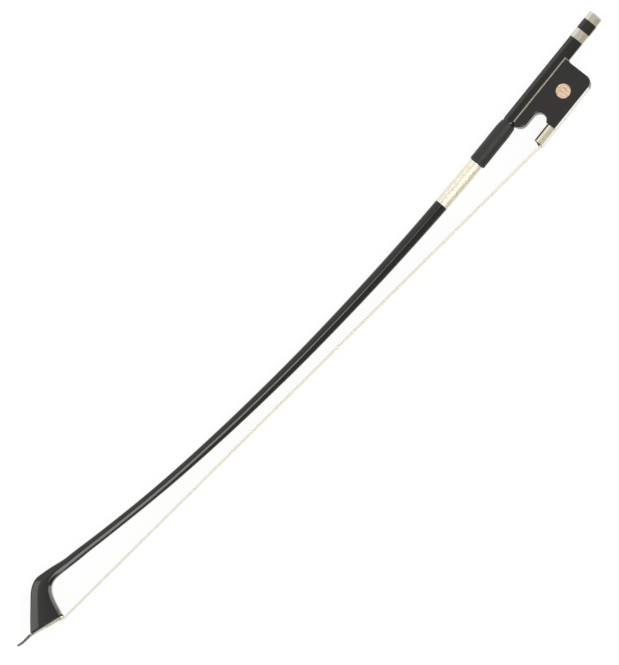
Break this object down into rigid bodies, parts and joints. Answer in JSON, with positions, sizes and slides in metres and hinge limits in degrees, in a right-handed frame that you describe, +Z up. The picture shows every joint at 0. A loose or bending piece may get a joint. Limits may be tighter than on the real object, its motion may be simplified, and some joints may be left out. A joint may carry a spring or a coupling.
{
  "type": "double bass bow",
  "caption": "French-style double bass bow: cambered black stick, frog moved by a screw with an octagonal button, silver mounts, wound and leathered grip, flat hair ribbon.",
  "frame": {"origin": "under the middle of the bow's bounding box, on the surface that it lies on", "axes": "+X along the hair from the frog to the head, +Y from the stick to the hair, +Z up out of the upper cheek; the median plane is at Z = 0.0093 m"},
  "size_m": [0.7117, 0.0525, 0.0186],
  "materials": {
    "black_lacquer": "wood under clear black gloss lacquer",
    "ebony": "polished ebony",
    "black_fibre": "vulcanised fibre, satin",
    "black_leather": "fine-grained, satin",
    "silver": "polished silver",
    "steel": "bright steel",
    "brass": "machined",
    "pearl": "polished mother-of-pearl",
    "rose_pearl": "polished rose mother-of-pearl",
    "maple": "bare wood",
    "walnut": "oiled wood",
    "horsehair": "combed horsehair"
  },
  "bodies": {
    "stick": {"stick": "black_lacquer", "head_liner": "black_fibre", "head_plate": "silver", "plate_pin_rear": "silver", "plate_pin_front": "silver", "head_wedge": "maple", "hair_knot_head": "horsehair", "hair_ribbon": "horsehair", "winding": "silver", "thumb_grip": "black_leather"},
    "frog": {"frog_body": "ebony", "underslide": "silver", "underslide_screw_heel": "silver", "underslide_screw_nose": "silver", "eye_upper": "rose_pearl", "eye_lower": "rose_pearl", "slide_base": "ebony", "slide_pearl": "pearl", "ferrule": "silver", "spread_wedge": "walnut", "frog_wedge": "maple", "hair_knot_frog": "horsehair", "eyelet": "brass"},
    "screw": {"screw": "steel", "button_core": "ebony", "button_collar": "silver", "button_cap": "silver"}
  },
  "joints": [
    {"name": "screw_turn", "type": "hinge", "parent": "stick", "child": "screw", "pos_m": [-0.3556, -0.0202, 0.0093], "axis": [0.9938, 0.1115, 0], "range_deg": [-540, 1800]},
    {"name": "frog_travel", "type": "slide", "parent": "stick", "child": "frog", "axis": [0.9938, 0.1115, 0], "range_m": [-0.0045, 0.00135], "deforming": ["hair_ribbon"]}
  ],
  "couplings": [
    {"joint": "screw_turn", "follows": "frog_travel", "rad_per_m": -6981.3}
  ]
}
